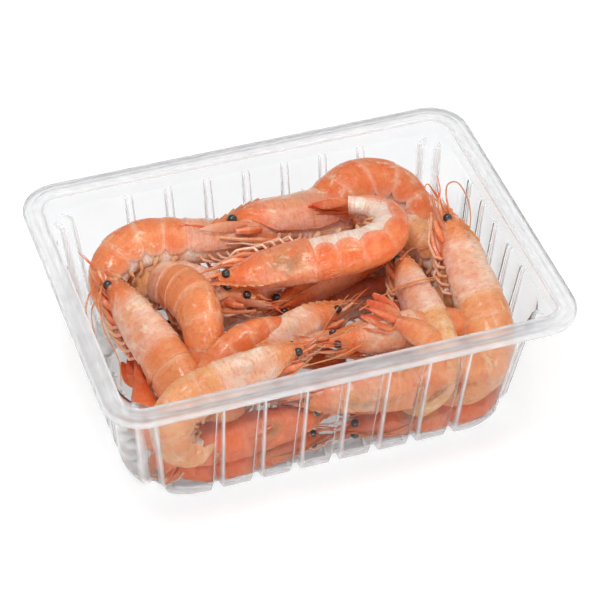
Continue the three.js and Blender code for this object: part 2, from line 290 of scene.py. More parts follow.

# Each prawn: its number, the place of its neck, its three turns in degrees, its length, how far its tail
# curls and its back humps in degrees, how wide its tail fan opens, how much later the curl starts, how deep
# its colour is (from 1.2 up this is painted shade on prawns that lie deep in the heap), how dusky it is, how
# far round its shell reaches in radians, and its tail fan's turn in degrees
Prawn = namedtuple(
    "Prawn", "number at heading pitch roll length curl hump fan delay tone dusk edge twist",
    defaults=[2.05, 0],
)
PRAWNS = [
    Prawn(1, (-30, 38, 51), -9, -3, -60, 122, 110, 5, 0.7, 0, 0.55, 0.35),
    Prawn(2, (22, 39, 49), 183, 11, 62, 150, 112, 38, 0.7, 0, 0.9, 0.5),
    Prawn(3, (5, 5, 59), 176, -4, -88, 124, 168, 0, 0.3, 0.08, 1.15, 1.5, 1.2),
    Prawn(4, (-60, -7, 43), 105, 14, 22, 128, 160, 0, 0.6, 0, 0.25, 0.2),
    Prawn(5, (-44, 22, 44), 100, -25, 20, 128, 120, 0, 0.7, 0, 0.45, 0.2),
    Prawn(6, (-38, 22, 43), -47, 12, -45, 118, 175, 0, 0.7, 0, -0.6, 0.2),
    Prawn(7, (-52, -36, 27), 205, -30, 15, 112, 47, 28, 0.4, 0, 0.8, 0.2),
    Prawn(8, (-41, -42, 50), 8, 8, -15, 116, 180, 0, 0.7, 0, -0.3, 0.3),
    Prawn(9, (-16, -22, 44), 19, 2, -30, 120, 160, 0, 0.7, 0, 0.1, 0.4),
    Prawn(10, (46, -25, 45), 90, 10, 30, 112, 145, 0, 0.7, 0, -0.5, 0.3),
    Prawn(11, (22, 12, 43), 203, 0, -40, 122, 160, 0, 0.7, 0, 1.8, 0.4),
    Prawn(12, (35, -30, 43), 180, 8, -10, 114, 160, 0, 0.7, 0, 0.45, 0.5),
    Prawn(13, (72, -21, 32), 82, 0, 105, 116, 155, 0, 0.6, 0, 0.2, 0.2),
    Prawn(14, (69, -20, 46), 90, 22, 58, 130, 145, 0, 0.7, 0, -0.05, 0.3),
    Prawn(15, (54, 24, 44), 130, 0, 60, 114, 130, 0, 0.7, 0, -0.5, 0.2),
    Prawn(16, (-34, -46, 24), 2, 0, 100, 112, 100, 0, 0.5, 0, 2.0, 0.9, 2.6, -78),
    Prawn(17, (15, -49, 35), 170, -3, -132, 102, 148, 12, 0.7, 0, 0.3, 1.2, 2.6, 75),
    Prawn(18, (-34, -44, 11), 0, 0, 88, 108, 150, 0, 0.7, 0, 1.9, 0.9, 2.6),
    Prawn(19, (40, -44, 11), 180, 0, -88, 116, 150, 0, 0.7, 0, 1.9, 0.9, 2.6),
    Prawn(20, (68, 8, 12), 92, 0, 88, 112, 150, 0, 0.7, 0, 0.8, 0.4),
    Prawn(21, (24, 9, 28), 4, 0, -88, 112, 150, 0, 0.7, 0, 1.3, 0.4),
    Prawn(22, (-18, 23, 25), 190, 0, 80, 116, 160, 0, 0.7, 0, 1.3, 0.4),
    Prawn(23, (36, 32, 22), 183, 0, 80, 112, 150, 0, 0.7, 0, 1.2, 0.4),
    Prawn(24, (30, -43, 24), 180, 0, -88, 100, 120, 0, 0.7, 0, 1.9, 0.9, 2.6),
]

ORANGE = linear(232, 112, 57)
PEACH = linear(236, 160, 106)
PINK = linear(244, 208, 190)
CREAM = linear(252, 228, 200)
FLESH = linear(255, 244, 230)
RED = linear(206, 62, 40)
DUSK = linear(150, 122, 78)
EYE_BLACK = linear(16, 14, 14)
EYE_BROWN = linear(96, 78, 66)
EYE_GRAIN = linear(84, 66, 54)
RUST = linear(228, 98, 42)
STREAK = linear(218, 84, 38)
DOT = linear(200, 66, 34)
FILM_DARK, FILM_LIGHT = linear(237, 238, 239), linear(241, 242, 243)
# The share of ORANGE in the deepest shell
DEEPEST = 0.95


def section(along):
    """Half height and half width at each place along, with the corners of the table rounded off"""
    reach = np.linspace(-SECTION_BLUR, SECTION_BLUR, 7)
    spots = np.clip(np.asarray(along)[..., None] + reach, 0, SECTIONS[-1, 0])
    return (
        np.interp(spots, SECTIONS[:, 0], SECTIONS[:, 1]).mean(axis=-1),
        np.interp(spots, SECTIONS[:, 0], SECTIONS[:, 2]).mean(axis=-1),
    )


class Spine:
    """The bent middle line of one prawn, which turns shares of its length into places in the tray"""

    def __init__(self, prawn):
        self.prawn = prawn
        self.along = np.linspace(NECK, SPINE_END, SPINE_STEPS)
        self.bend = self.bend_at(self.along)
        step = self.along[1] - self.along[0]
        middle = self.bend_at(self.along[:-1] + step / 2)
        self.x = np.concatenate([[0], np.cumsum(-np.cos(middle) * step)])
        self.z = np.concatenate([[0], np.cumsum(-np.sin(middle) * step)])
        heading, pitch, roll = np.radians([prawn.heading, -prawn.pitch, prawn.roll])
        self.turn = np.array(
            Matrix.Rotation(heading, 3, "Z") @ Matrix.Rotation(pitch, 3, "Y") @ Matrix.Rotation(roll, 3, "X")
        )

    def bend_at(self, along):
        """The turn of the middle line, in radians"""
        rise = np.clip((along - NECK) / HUMP_REACH, 0, 1)
        fall = smooth(BEND_START, BEND_END, along - self.prawn.delay)
        curl, hump = self.prawn.curl, self.prawn.hump
        return np.radians((curl + hump) * fall - hump * rise)

    def place(self, along, side, up):
        """Points in millimetres in the tray's frame"""
        along, side, up = np.broadcast_arrays(along, side, up)
        bend = np.where(along > NECK, np.interp(along, self.along, self.bend), 0)
        x = np.where(along > NECK, np.interp(along, self.along, self.x), NECK - along)
        z = np.where(along > NECK, np.interp(along, self.along, self.z), 0)
        local = np.stack([x - np.sin(bend) * up, side, z + np.cos(bend) * up], axis=-1)
        return (local * self.prawn.length) @ self.turn.T + self.prawn.at


def capped(rings):
    """The points of some rings as one list, then the middles of the first and the last ring"""
    ends = [rings[0].mean(axis=0), rings[-1].mean(axis=0)]
    return np.concatenate([rings.reshape(-1, rings.shape[-1]), ends])


SHELL, LIMB, EYEBALL = 0, 1, 2
SHELL_COLUMNS, BELLY_COLUMNS, BLADE_COLUMNS = 24, 10, 14
# Bodies start at different places in the flow noise, which varies their marks
FLOW_CYCLE, FLOW_SHIFT = 977, 0.71


class Heap:
    """Collects the closed bodies of one prawn"""

    def __init__(self, spine):
        self.spine = spine
        self.points, self.faces, self.slots, self.shades, self.flows = [], [], [], [], []
        self.size = 0

    def add(self, rings, shades, slot):
        """One closed body through rings of points, with coordinates along and around it"""
        count = rings.shape[1]
        steps = np.linalg.norm(np.diff(rings.mean(axis=1), axis=0), axis=1)
        along = np.concatenate([[0], np.cumsum(steps)])[:, None] * np.ones((1, count))
        girth = np.linalg.norm(rings[:, 0] - rings[:, count // 2], axis=1)[:, None] / 2
        turn = np.linspace(0, 2 * math.pi, count, endpoint=False)
        flow = np.stack([along, girth * np.cos(turn), girth * np.sin(turn)], axis=-1)
        self.flows.append(capped(flow + [(self.size % FLOW_CYCLE) * FLOW_SHIFT, 0, 0]))
        shades = np.broadcast_to(shades, rings.shape)
        shades = np.concatenate([shades.reshape(-1, 3), [shades[0, 0], shades[-1, 0]]])
        quads, caps = loft_faces(len(rings), count)
        self.points.append(capped(rings))
        self.shades.append(shades)
        self.faces += [tuple(i + self.size for i in face) for face in quads + caps]
        self.slots += [slot] * (len(quads) + len(caps))
        self.size += len(shades)


def plate_share(along):
    """How far along its abdominal plate each place is"""
    plate = np.clip(np.searchsorted(PLATE_ENDS, along, side="right") - 1, 0, len(PLATE_ENDS) - 2)
    share = (along - PLATE_ENDS[plate]) / (PLATE_ENDS[plate + 1] - PLATE_ENDS[plate])
    return np.clip(share, 0, 1)


def body_places():
    """Places along the body, close together at the edges of the plates"""
    places = [np.linspace(BODY_START, 0.34, 46), [0.346, 0.351, 0.355, 0.358, 0.3605, PLATE_ENDS[0] - 1e-4]]
    shares = np.array([
        0.006, 0.02, 0.05, 0.1, 0.18, 0.28, 0.4, 0.52, 0.64, 0.76, 0.86, 0.93, 0.96, 0.98, 0.99,
    ])
    for start, end in zip(PLATE_ENDS, PLATE_ENDS[1:]):
        places.append(start + (end - start) * shares)
    places.append([0.8595, 0.864, BODY_END])
    return np.concatenate(places)


def ripple(a, b, seed):
    """A slow wavy value from -1 to 1"""
    return (
        np.sin(a * 2.1 + b * 1.3 + seed * 2.7)
        + np.sin(a * 1.1 - b * 2.3 + seed * 5.1)
        + np.sin(a * 3.7 + b * 2.9 + seed * 1.9)
    ) / 3


def shell_relief(s, around, t, lobe, mask):
    """Height of the shell above its smooth section, for the abdomen's plates and for the head"""
    plates = 0.002 * (t**1.5 - 0.5) + 0.001 * lobe[:, None]
    plates = plates - 0.0009 * bump(t, 0.22, 0.06) * (1 - smooth(0.9, 1.6, around))
    groove_line = 0.27 - 0.075 * np.clip(around / 1.3, 0, 1.3)
    head = (
        0.0035 * smooth(0.31, 0.356, s)
        - 0.0022 * bump(s, 0.344, 0.005)
        - 0.0035 * bump(s, groove_line, 0.009) * (1 - smooth(1.2, 1.7, around))
        + 0.006 * bump(around, 0, 0.13) * (1 - smooth(0.18, 0.29, s)) * smooth(0.06, 0.12, s)
        - 0.0022 * bump(around, 0.42, 0.13) * (1 - smooth(0.2, 0.28, s)) * smooth(0.1, 0.16, s)
        - 0.0018 * bump(around, 1.75, 0.1) * smooth(0.2, 0.26, s)
    )
    return head * (1 - mask) + plates * mask


def shell_shade(prawn, s, turn, t, mask, edge):
    """Colour of the shell: deeper along the back, paler at the seams, with a dusky patch on the head, a
    painted highlight beside its ridge, and deeper overall where a high tone paints shade
    """
    around = np.abs(turn)
    base = mix(PEACH, ORANGE, min(prawn.tone, DEEPEST))
    dull = 1 - 0.6 * smooth(0.5, 1.2, prawn.dusk)
    pale = dull * min(1, max(0, 2 - prawn.tone))
    shade = np.broadcast_to(base, s.shape + (3,))
    wave = ripple(s * 26, turn * 2.4, prawn.number * 3)
    shade = mix(shade, ORANGE, 0.45 * (1 - mask) * (1 - smooth(0.13, 0.2, s)))
    flush = (1 - mask) * smooth(0.13, 0.2, s) * (0.66 + 0.2 * wave)
    shade = mix(shade, PINK, flush * dull * max(0, 1.1 - 0.5 * prawn.tone))
    dusk = bump(s, 0.27, 0.055) * bump(around, 0.95, 0.6) * (0.6 + 0.5 * wave)
    shade = mix(shade, DUSK, np.clip(prawn.dusk * dusk * (1 - mask), 0, 0.8))
    # Painted highlight: a cream stripe beside the ridge of the head shell
    shade = mix(shade, CREAM, 0.55 * pale * (1 - mask) * bump(around, 0.4, 0.35) * smooth(0.15, 0.22, s))
    band = np.maximum(bump(t, 0.02, 0.13), 0.75 * bump(t, 1.0, 0.05)) * (0.75 + 0.25 * wave)
    seam = 0.44 * mask * np.clip(band, 0, 1) * (1 - 0.6 * smooth(0.72, 0.8, s))
    shade = mix(shade, CREAM, seam * (0.4 + 0.6 * pale))
    # Deeper along the back; a high tone makes it deeper still, which on prawns deep in the heap is painted
    # shade
    shade = mix(shade, ORANGE, 0.3 * mask * bump(around, 0, 0.7) * prawn.tone)
    shade = mix(shade, PINK, 0.35 * mask * bump(around, edge, 0.22))
    return mix(shade, RED, 0.4 * smooth(0.78, 0.86, s))


def belly_shade(prawn, s, t):
    """Colour of the soft underside, which is pale flesh with an orange throat"""
    base = mix(PEACH, ORANGE, min(prawn.tone, DEEPEST))
    flesh = mix(FLESH, base, 0.05 + 0.15 * bump(t, 0.5, 0.2))
    return mix(flesh, ORANGE, 0.75 * (1 - smooth(0.16, 0.3, s)))


def add_body(heap, prawn):
    """Head shell, abdominal plates and belly as one closed skin"""
    along = body_places()
    high, wide = section(along)
    share = plate_share(along)
    abdomen = smooth(0.356, 0.364, along)
    lobe = np.sin(math.pi * share) ** 0.7
    # How far round from the middle of the back the shell reaches, in radians
    edge_abdomen = prawn.edge + 0.26 * lobe * (1 - 0.5 * smooth(0.7, 0.86, along))
    edge_head = 1.5 + 0.75 * smooth(0.1, 0.2, along) - 0.15 * smooth(0.3, 0.36, along)
    edge = (edge_head * (1 - abdomen) + edge_abdomen * abdomen)[:, None]
    shell = np.linspace(0, 1, SHELL_COLUMNS)
    belly = np.linspace(0, 1, BELLY_COLUMNS)
    half = np.concatenate([edge * shell, (edge + 0.025) + (math.pi - edge - 0.025) * belly], axis=1)
    turn = np.concatenate([half, -half[:, -2:0:-1]], axis=1)
    around = np.abs(turn)
    s = np.broadcast_to(along[:, None], turn.shape)
    is_belly = around > edge + 0.01
    t, mask = share[:, None], abdomen[:, None]
    fade = smooth(0.1, 0.2, s) * (1 - smooth(0.79, 0.86, s))
    hollow = -(0.009 + 0.004 * bump(around, edge, 0.3)) * fade
    height = np.where(is_belly, hollow, shell_relief(s, around, t, lobe, mask))
    height = height + 0.0012 * ripple(s * 30, turn * 2, prawn.number) * fade
    # The sides hang a little straighter than an ellipse
    flat = 1 + 0.035 * bump(around, 1.75, 0.45) * fade
    side = (wide[:, None] * flat + height) * np.sin(turn)
    up = (high[:, None] + height) * np.cos(turn)
    over, under = shell_shade(prawn, s, turn, t, mask, edge), belly_shade(prawn, s, t)
    heap.add(heap.spine.place(s, side, up), np.where(is_belly[..., None], under, over), SHELL)


def tube(points, radii, count):
    """Rings of a tube along a line of points, in the same unit"""
    points = np.asarray(points, dtype=float)
    way = np.gradient(points, axis=0)
    way /= np.linalg.norm(way, axis=1)[:, None] + 1e-12
    normal = np.array([0.0, 0.0, 1.0])
    if abs(normal @ way[0]) > 0.9:
        normal = np.array([0.0, 1.0, 0.0])
    normals = []
    for step in way:
        normal = normal - step * (normal @ step)
        normal /= np.linalg.norm(normal) + 1e-12
        normals.append(normal)
    normals = np.array(normals)
    across = np.cross(way, normals)
    turn = np.linspace(0, 2 * math.pi, count, endpoint=False)
    radii = np.broadcast_to(radii, len(points))[:, None, None]
    return points[:, None] + radii * (
        np.cos(turn)[None, :, None] * normals[:, None] + np.sin(turn)[None, :, None] * across[:, None]
    )


def curve(points, steps):
    """A smooth line through a few points"""
    points = np.asarray(points, dtype=float)
    padded = np.concatenate([[2 * points[0] - points[1]], points, [2 * points[-1] - points[-2]]])
    spots = np.linspace(0, len(points) - 1, steps)
    index = np.minimum(spots.astype(int), len(points) - 2)
    t = (spots - index)[:, None]
    a, b, c, d = (padded[index + i] for i in range(4))
    return 0.5 * (2 * b + (c - a) * t + (2 * a - 5 * b + 4 * c - d) * t**2 + (3 * b - a - 3 * c + d) * t**3)


def bent(points, steps):
    """A jointed line: straight runs with short round joints"""
    points = np.asarray(points, dtype=float)
    dense = [points[0]]
    for before, joint, after in zip(points, points[1:], points[2:]):
        dense += [joint + (before - joint) * JOINT_REACH, joint + (after - joint) * JOINT_REACH]
    dense.append(points[-1])
    return curve(dense, steps)


def add_limb(heap, points, radii, first, last, steps=14, count=7, jointed=True):
    """A thin round limb through [along, side, up] points in shares of the length"""
    line = bent(points, steps) if jointed and len(points) > 2 else curve(points, steps)
    place = heap.spine.place(line[:, 0], line[:, 1], line[:, 2])
    t = np.linspace(0, 1, steps)
    spread = np.interp(t, np.linspace(0, 1, len(radii)), radii) * heap.spine.prawn.length
    shade = mix(first, last, t)[:, None, :] * np.ones((1, count, 1))
    heap.add(tube(place, spread, count), shade, LIMB)


def twisted(points, twist):
    """Turns (along, side, up) points about the body's middle line"""
    cos, sin = math.cos(math.radians(twist)), math.sin(math.radians(twist))
    return [(along, side * cos - up * sin, side * sin + up * cos) for along, side, up in points]


def add_leaf(
    heap, points, width, thick, first, last, across, edge=None, steps=16, ridges=0.0, slot=LIMB,
):
    """A flat blade along [along, side, up] points, as wide as given in the direction called across"""
    line = curve(points, steps)
    t = np.linspace(0, 1, steps)
    spread = np.interp(t, np.linspace(0, 1, len(width)), width)
    across = np.array(across, dtype=float)
    across /= np.linalg.norm(across)
    way = np.gradient(line, axis=0)
    way /= np.linalg.norm(way, axis=1)[:, None]
    flat = across - way * (way @ across)[:, None]
    flat /= np.linalg.norm(flat, axis=1)[:, None]
    normal = np.cross(way, flat)
    turn = np.linspace(0, 2 * math.pi, BLADE_COLUMNS, endpoint=False)
    cos, sin = np.cos(turn), np.sin(turn)
    body = thick * (1 - 0.6 * t)[:, None] * (1 + ridges * np.cos(cos * 9)[None, :])
    offset = (
        flat[:, None] * (spread[:, None] * cos[None, :])[..., None]
        + normal[:, None] * (body * sin[None, :] * np.sqrt(1.02 - cos[None, :] ** 2 * 0.9))[..., None]
    )
    grid = line[:, None] + offset
    shade = mix(first, last, t)[:, None, :] * np.ones((1, BLADE_COLUMNS, 1))
    if edge is not None:
        rim = np.clip(np.abs(cos) * 3 - 2, 0, 1)[None, :] * np.ones((steps, 1))
        shade = mix(shade, edge, 0.7 * rim)
    heap.add(heap.spine.place(grid[..., 0], grid[..., 1], grid[..., 2]), shade, slot)


def add_rostrum(heap):
    """The toothed blade that runs forward from the ridge of the back"""
    along = np.concatenate([np.linspace(0.235, 0.0, 72), [-0.004]])
    high, _ = section(np.clip(along, 0.02, 1))
    lift = ROSTRUM_LIFT * np.maximum(0, 1 - along / EYE)
    teeth = (along * 38) % 1
    saw = np.where((along > 0.03) & (along < 0.2), teeth, 0.2)
    rise = smooth(0.235, 0.17, along) * 0.011 * (0.55 + 0.6 * saw) * smooth(-0.01, 0.06, along)
    middle = high * smooth(0.0, 0.05, along) + lift
    top = middle + rise
    low = np.where(along > 0.1, middle - 0.02, middle - 0.012 * smooth(-0.02, 0.1, along) - 0.001)
    thick = 0.0052 * smooth(-0.02, 0.09, along) + 0.0006
    turn = np.linspace(0, 2 * math.pi, 8, endpoint=False)
    centre, half = (top + low) / 2, (top - low) / 2
    up = centre[:, None] + half[:, None] * np.cos(turn)
    side = thick[:, None] * np.sin(turn) * (1 - 0.45 * np.cos(turn))
    shade = mix(mix(PEACH, ORANGE, 0.6), RED, 0.35 * smooth(0.12, 0.0, along))
    rings = heap.spine.place(np.broadcast_to(along[:, None], up.shape), side, up)
    heap.add(rings, shade[:, None, :] * np.ones((1, 8, 1)), SHELL)


def add_eye(heap, prawn, hand):
    """A black ball on a short stalk"""
    length = prawn.length
    centre = heap.spine.place(0.083, hand * 0.025, 0.009)
    root = heap.spine.place(0.115, hand * 0.014, 0.008)
    girth = np.array([0.9, 1.0, 1.0, 1.1, 1.15, 1.1]) * length * 0.0105
    stalk = tube(np.linspace(root, centre, len(girth)), girth, 10)
    heap.add(stalk, mix(PEACH, ORANGE, 0.5) * np.ones((len(girth), 10, 3)), LIMB)
    way = (centre - root) / np.linalg.norm(centre - root)
    polar = np.linspace(0.06, math.pi - 0.06, 15)
    radius = length * 0.0146
    line = centre + way * 0.35 * radius - np.cos(polar)[:, None] * way * radius
    ball = tube(line, np.sin(polar) * radius, 20)
    shade = mix(EYE_BROWN, EYE_BLACK, smooth(0.2, 0.42, polar / math.pi))[:, None, :] * np.ones((1, 20, 1))
    heap.add(ball, shade, EYEBALL)


def wobble(*numbers):
    """A repeatable value from -1 to 1 that stands for chance"""
    total = sum(number * factor for number, factor in zip(numbers, (12.9898, 78.233, 37.719, 9.131)))
    return 2 * ((math.sin(total) * 43758.5453) % 1) - 1


def add_head(heap, prawn):
    number = prawn.number
    add_rostrum(heap)
    pale = mix(PEACH, CREAM, 0.3)
    for hand in (-1, 1):
        add_eye(heap, prawn, hand)
        # Antennal scale
        add_leaf(
            heap,
            [(0.14, hand * 0.026, -0.012), (0.08, hand * 0.036, -0.016), (0.02, hand * 0.034, -0.014),
             (-0.02, hand * 0.026, -0.01)],
            [0.008, 0.016, 0.019, 0.013, 0.002], 0.0032, mix(PEACH, ORANGE, 0.4), PINK, edge=ORANGE,
            across=(0, 1, hand * 0.7), ridges=0.15,
        )
        # Antennule with its two short whips
        add_limb(
            heap,
            [(0.12, hand * 0.012, -0.004), (0.07, hand * 0.016, -0.008), (0.035, hand * 0.016, -0.006),
             (0.01, hand * 0.014, -0.002)],
            [0.008, 0.0075, 0.006, 0.0045], ORANGE, pale,
        )
        for k in (0, 1):
            drift = 0.02 * wobble(number, hand, k)
            add_limb(
                heap,
                [(0.012, hand * 0.014, -0.002), (-0.03, hand * (0.018 + 0.01 * k), 0.004 - 0.012 * k + drift),
                 (-0.075, hand * (0.02 + 0.02 * k) + drift, -0.008 * k + drift * 2)],
                [0.003, 0.0022, 0.0008], ORANGE, RED, steps=12, count=5, jointed=False,
            )
        # Base of the antenna and the leg-like mouthparts under the head
        add_limb(
            heap,
            [(0.15, hand * 0.03, -0.028), (0.11, hand * 0.038, -0.032), (0.075, hand * 0.036, -0.03)],
            [0.01, 0.0125, 0.0075], ORANGE, mix(ORANGE, CREAM, 0.25),
        )
        add_limb(
            heap,
            [(0.2, hand * 0.02, -0.058), (0.15, hand * 0.03, -0.062), (0.09, hand * 0.026, -0.052),
             (0.035, hand * 0.018, -0.036)],
            [0.0085, 0.0085, 0.007, 0.004], ORANGE, pale,
        )
        add_limb(
            heap,
            [(0.17, hand * 0.012, -0.052), (0.12, hand * 0.018, -0.05), (0.075, hand * 0.014, -0.04)],
            [0.008, 0.007, 0.004], PEACH, CREAM,
        )
        for k in range(5):
            root = 0.2 + 0.03 * k
            a, b, c = (wobble(number, hand, k, j) for j in range(3))
            reach = 0.15 - 0.012 * k
            belly = -float(section(root)[0])
            add_limb(
                heap,
                [(root, hand * 0.034, belly * 0.72), (root - 0.012, hand * (0.044 + 0.004 * a), belly * 0.98),
                 (root - reach * 0.45, hand * (0.034 + 0.008 * b), belly - 0.008 + 0.006 * c),
                 (root - reach * 0.72, hand * (0.024 + 0.008 * a), belly * 0.92 + 0.008 * b),
                 (root - reach, hand * (0.016 + 0.008 * c), belly * 0.8 + 0.008 * a)],
                [0.0054, 0.005, 0.0041, 0.003, 0.0016],
                mix(PEACH, PINK, 0.4), mix(CREAM, PINK, 0.4), steps=18,
            )


# Long antennae laid over and beside the heap, as places in millimetres from root to tip
ANTENNAE = {
    4: [[(-72, 28, 50), (-76, 20, 49), (-80, 12, 50), (-82, 2, 50), (-82, -8, 47)],
        [(-74, 26, 52), (-80, 18, 51), (-84, 6, 48), (-83, -8, 44), (-79, -20, 38)],
        [(-73, 22, 53), (-77, 12, 53), (-78, 0, 50), (-76, -12, 44), (-77, -18, 36)]],
    9: [[(2, -24, 43), (8, -19, 47), (13, -15, 49), (20, -8, 48)]],
    10: [[(44, -2, 55), (50, 4, 53), (55, 8, 50), (63, 5, 52), (69, 2, 54)],
         [(21, -18, 48), (34, -15, 51), (45, -17, 56), (53, -16, 54)],
         [(38, -14, 52), (47, -18, 57), (59, -13, 52)]],
    12: [[(27, -33, 51), (17, -36, 48), (4, -42, 50), (-8, -44, 51), (-18, -45, 51)]],
    14: [[(70, 10, 62), (72, 20, 62), (76, 29, 61), (81, 30, 60), (81, 19, 60), (77, 6, 61), (72, -4, 61)],
         [(69, 12, 62), (69, 24, 61), (69, 33, 60), (66, 31, 59)]],
    18: [[(-31, -51, 13), (-11, -52, 13), (8, -52, 17)]],
    19: [[(10, -51, 12), (22, -52, 12), (32, -52, 14), (47, -52, 16)]],
}


def add_antennae(heap, prawn):
    for places in ANTENNAE.get(prawn.number, []):
        steps = 8 * len(places)
        share = np.linspace(0, 1, steps)
        shade = mix(mix(ORANGE, PEACH, 0.5), mix(PEACH, DUSK, 0.6), share)[:, None, :] * np.ones((1, 6, 1))
        heap.add(tube(curve(places, steps), 0.42 - 0.22 * share, 6), shade, LIMB)


def add_swimmerets(heap, prawn):
    """A stalk with two small blades on each side, under each of the first five plates"""
    for k, root in enumerate(PLATE_ENDS[:5] + 0.03):
        high, _ = section(root)
        size = 1 - 0.1 * k
        for hand in (-1, 1):
            a, b = wobble(prawn.number, k, hand), wobble(k, hand, prawn.number)
            knee = (root + 0.018, hand * 0.026 * size, -high - 0.001 * size)
            add_limb(
                heap,
                [(root, hand * 0.034 * size, -high * 0.66), knee],
                [0.0115 * size, 0.0075 * size], mix(PEACH, CREAM, 0.5), PEACH, steps=5, count=8,
            )
            for j in (0, 1):
                lean = hand * (0.026 - 0.016 * j + 0.006 * a) * size
                add_leaf(
                    heap,
                    [(root + 0.012, hand * 0.026 * size, -high + 0.002),
                     (root + 0.04 * size, lean, -high - 0.006 + 0.004 * b),
                     (root + 0.075 * size, lean * 0.8, -high - 0.002 + 0.004 * a)],
                    [0.003, 0.0085, 0.0085, 0.001], 0.0022, mix(PEACH, PINK, 0.4), mix(PINK, CREAM, 0.4),
                    edge=PEACH, across=(0, 1, hand * 0.6), steps=10,
                )


def add_tail(heap, prawn):
    """The pointed telson between four blades, all turned by the twist"""
    twist = prawn.twist
    # A turned fan opens wider and has broader blades
    spread = prawn.fan * (1 + abs(twist) / 250)
    width = np.array([0.006, 0.013, 0.0165, 0.015, 0.004]) * (1 + abs(twist) / 120)
    tip = mix(ORANGE, RED, 0.75)
    add_leaf(
        heap, twisted([(0.845, 0, 0.02), (0.91, 0, 0.02), (0.96, 0, 0.012), (1.0, 0, 0.004)], twist),
        [0.017, 0.015, 0.009, 0.001], 0.009, mix(ORANGE, RED, 0.25), tip,
        across=twisted([(0, 1, 0)], twist)[0], steps=18, ridges=0.1, slot=SHELL,
    )
    for hand in (-1, 1):
        for j in (0, 1):
            out = hand * (0.021 + 0.024 * j) * spread / USUAL_FAN
            low = -0.004 - 0.006 * j
            line = [
                (0.85, hand * 0.012, low + 0.004), (0.89, hand * 0.014 + out * 0.5, low),
                (0.94, out * 0.95, low), (1.0 - 0.012 * j, out * 1.25, low - 0.002),
            ]
            add_leaf(
                heap, twisted(line, twist), width, 0.0042, mix(ORANGE, PEACH, 0.3), tip,
                edge=mix(RED, ORANGE, 0.4), across=twisted([(0, 1, hand * (0.25 + 0.35 * j))], twist)[0],
                steps=20, ridges=0.25, slot=SHELL,
            )


# The space inside the tray, and how far above the rim a feeler may rise
INNER = skin(FILM + GAP, FILM + GAP)
OVER_RIM = 1


def keep_inside(points):
    """Moves points inwards until they are clear of the tray, and down to just above the rim"""
    low, high = INNER["bend_top"], INNER["wall_top"]
    foot = INNER["ring_outer"]
    z = np.clip(points[:, 2], BASE_LIFT + FILM + GAP, HEIGHT + OVER_RIM)
    rise = np.clip((z - low[Z]) / (high[Z] - low[Z]), 0, 1)[:, None]
    row = low + (high - low) * rise
    under = np.clip((low[Z] - z) / (low[Z] - foot[Z]), 0, 1) ** 2
    half_length = row[:, HALF_LENGTH] - under * BEND_REACH
    half_width = row[:, HALF_WIDTH] - under * BEND_REACH
    radius, half, depth = row[:, RADIUS], row[:, FLUTE_HALF], row[:, FLUTE_DEPTH]

    def flute(place, pitch, count):
        index = np.clip(np.round(place / pitch), -(count // 2), count // 2)
        return depth * crest((place - index * pitch) / (half + GAP))

    deep_x = flute(points[:, 1], row[:, PITCH_SHORT], SHORT_FLUTES)
    deep_y = flute(points[:, 0], row[:, PITCH_LONG], LONG_FLUTES)
    centre_x, centre_y = half_length - radius, half_width - radius
    over_x, over_y = np.abs(points[:, 0]) - centre_x, np.abs(points[:, 1]) - centre_y
    in_corner = (over_x > 0) & (over_y > 0)
    x = np.sign(points[:, 0]) * np.minimum(np.abs(points[:, 0]), half_length - deep_x)
    y = np.sign(points[:, 1]) * np.minimum(np.abs(points[:, 1]), half_width - deep_y)
    turn = np.arctan2(over_y, over_x)
    limit = radius - depth * crest((np.degrees(turn) - 45) / CORNER_CREST_TURN)
    reach = np.minimum(np.hypot(over_x, over_y), limit)
    x = np.where(in_corner, np.sign(points[:, 0]) * (centre_x + reach * np.cos(turn)), x)
    y = np.where(in_corner, np.sign(points[:, 1]) * (centre_y + reach * np.sin(turn)), y)
    return np.stack([x, y, z], axis=1)


def node_material(name):
    material = bpy.data.materials.new(name)
    material.use_nodes = True
    tree = material.node_tree
    shader = tree.nodes["Principled BSDF"]
    return material, tree, shader


def add_node(tree, kind, **values):
    node = tree.nodes.new(kind)
    for key, value in values.items():
        if key in node.inputs:
            node.inputs[key].default_value = value
        else:
            setattr(node, key, value)
    return node


def feed(tree, value, socket):
    """Joins another node's output to the socket, or sets it to a plain value"""
    if isinstance(value, bpy.types.NodeSocket):
        tree.links.new(value, socket)
    else:
        socket.default_value = value


def set_inputs(node, values):
    for name, value in values.items():
        node.inputs[name].default_value = value


def noise(tree, scale, detail, roughness=0.5):
    place = add_node(tree, "ShaderNodeTexCoord")
    node = add_node(tree, "ShaderNodeTexNoise", Scale=scale, Detail=detail, Roughness=roughness)
    tree.links.new(place.outputs["Object"], node.inputs["Vector"])
    return node.outputs["Fac"]


def ramp(tree, value, low, high, start=0.0, end=1.0):
    """The value's place between low and high, as a value between start and end"""
    node = add_node(tree, "ShaderNodeMapRange")
    set_inputs(node, {"From Min": low, "From Max": high, "To Min": start, "To Max": end})
    tree.links.new(value, node.inputs["Value"])
    return node.outputs["Result"]


def blend_color(tree, factor, first, second):
    node = add_node(tree, "ShaderNodeMix", data_type="RGBA")
    for value, name in ((first, "A"), (second, "B")):
        socket = [s for s in node.inputs if s.name == name and s.type == "RGBA"][0]
        feed(tree, value if isinstance(value, bpy.types.NodeSocket) else (*value, 1), socket)
    feed(tree, factor, [s for s in node.inputs if s.name == "Factor" and s.type == "VALUE"][0])
    return [s for s in node.outputs if s.type == "RGBA"][0]


def combine(tree, first, second, operation="MULTIPLY"):
    node = add_node(tree, "ShaderNodeMath", operation=operation)
    feed(tree, first, node.inputs[0])
    feed(tree, second, node.inputs[1])
    return node.outputs[0]


